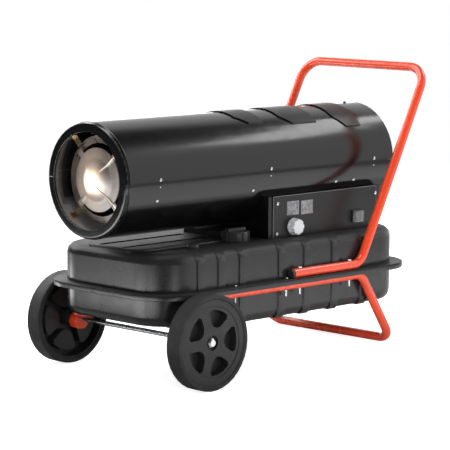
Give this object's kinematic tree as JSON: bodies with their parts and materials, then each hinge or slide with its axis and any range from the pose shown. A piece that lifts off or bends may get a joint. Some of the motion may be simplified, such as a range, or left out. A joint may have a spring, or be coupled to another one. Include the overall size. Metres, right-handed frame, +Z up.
{
  "type": "oil-fired space heater",
  "caption": "Barrel-shaped oil-fired space heater on a ribbed plastic fuel tank, with a bent red tube cart, two wheels, a foot bar and a raised push handle.",
  "frame": {"origin": "centre of the footprint on the floor that the two wheels and the foot bar stand on", "axes": "+X from the warm air outlet to the handle, +Y to the heater's left seen from the handle's side, +Z up"},
  "size_m": [1.004, 0.541, 0.7098],
  "materials": {
    "black_paint": "satin",
    "tank_plastic": "satin moulded",
    "red_paint": "gloss powder coat",
    "zinc": "bright zinc",
    "tyre_rubber": "matt",
    "hub_plastic": "matt",
    "stainless": "bright sheet",
    "gold_zinc": "yellow passivated",
    "grey_plastic": "satin",
    "dark_plastic": "satin",
    "circuit_board": "satin",
    "cast_metal": "as cast",
    "ceramic": "glazed",
    "copper": "bright tube",
    "seal_rubber": "matt",
    "clear_plastic": "clear moulded"
  },
  "bodies": {
    "chassis": {"cart_frame": "red_paint", "handle_frame": "red_paint", "frame_bolt_left_1": "zinc", "frame_bolt_left_2": "zinc", "frame_bolt_left_3": "zinc", "frame_bolt_left_4": "zinc", "frame_bolt_right_1": "zinc", "frame_bolt_right_2": "zinc", "frame_bolt_right_3": "zinc", "frame_bolt_right_4": "zinc", "axle": "zinc", "axle_cap_left": "zinc", "axle_cap_right": "zinc", "tank_lower_half": "tank_plastic", "tank_upper_half": "tank_plastic", "drain_plug": "zinc", "fuel_gauge": "dark_plastic", "fuel_strainer": "grey_plastic", "barrel_upper_shell": "black_paint", "barrel_lower_shell": "black_paint", "combustion_chamber": "stainless", "flame_baffle": "stainless", "chamber_bracket_1": "gold_zinc", "chamber_bracket_2": "gold_zinc", "chamber_bracket_3": "gold_zinc", "chamber_bracket_4": "gold_zinc", "burner_head": "stainless", "fuel_nozzle": "gold_zinc", "electrode_left": "ceramic", "electrode_right": "ceramic", "photocell": "dark_plastic", "burner_plate": "black_paint", "fan_motor": "cast_metal", "motor_bracket": "black_paint", "pump_housing": "cast_metal", "pump_cover": "cast_metal", "rear_guard": "zinc", "fuel_line": "copper", "base_housing": "black_paint", "cable_gland": "dark_plastic", "control_panel": "black_paint", "thermostat_body": "dark_plastic", "switch_frame": "dark_plastic", "control_board": "circuit_board", "ignition_transformer": "cast_metal", "handle_plug_left": "dark_plastic", "handle_plug_right": "dark_plastic", "switch_cover": "clear_plastic"},
    "wheel_left": {"tyre_left": "tyre_rubber", "wheel_hub_left": "hub_plastic"},
    "wheel_right": {"tyre_right": "tyre_rubber", "wheel_hub_right": "hub_plastic"},
    "fan": {"motor_shaft": "zinc", "fan_blades": "cast_metal", "pump_rotor": "cast_metal"},
    "knob": {"thermostat_knob": "grey_plastic"},
    "rocker": {"switch_rocker": "dark_plastic"},
    "cap_seal": {"cap_gasket": "seal_rubber"},
    "cap": {"fuel_cap": "dark_plastic"}
  },
  "joints": [
    {"name": "wheel_left_roll", "type": "hinge", "parent": "chassis", "child": "wheel_left", "pos_m": [-0.35136, 0.2495, 0.11456], "axis": [0, 1, 0], "continuous": true},
    {"name": "wheel_right_roll", "type": "hinge", "parent": "chassis", "child": "wheel_right", "pos_m": [-0.35136, -0.2495, 0.11456], "axis": [0, 1, 0], "continuous": true},
    {"name": "fan_spin", "type": "hinge", "parent": "chassis", "child": "fan", "pos_m": [0.18066, 0, 0.47042], "axis": [0.9995, 0, -0.0303], "continuous": true},
    {"name": "thermostat_turn", "type": "hinge", "parent": "chassis", "child": "knob", "pos_m": [0.0539, -0.1463, 0.33169], "axis": [0, -1, 0], "range_deg": [-270, 0]},
    {"name": "rocker_tip", "type": "hinge", "parent": "chassis", "child": "rocker", "pos_m": [0.28848, -0.1476, 0.33059], "axis": [-0.9995, 0, 0.0303], "range_deg": [0, 14]},
    {"name": "cap_lift", "type": "slide", "parent": "chassis", "child": "cap_seal", "axis": [0.0303, 0, 0.9995], "range_m": [0, 0.018]},
    {"name": "cap_turn", "type": "hinge", "parent": "cap_seal", "child": "cap", "pos_m": [-0.11225, -0.108, 0.31271], "axis": [0.0303, 0, 0.9995], "range_deg": [0, 120]}
  ]
}
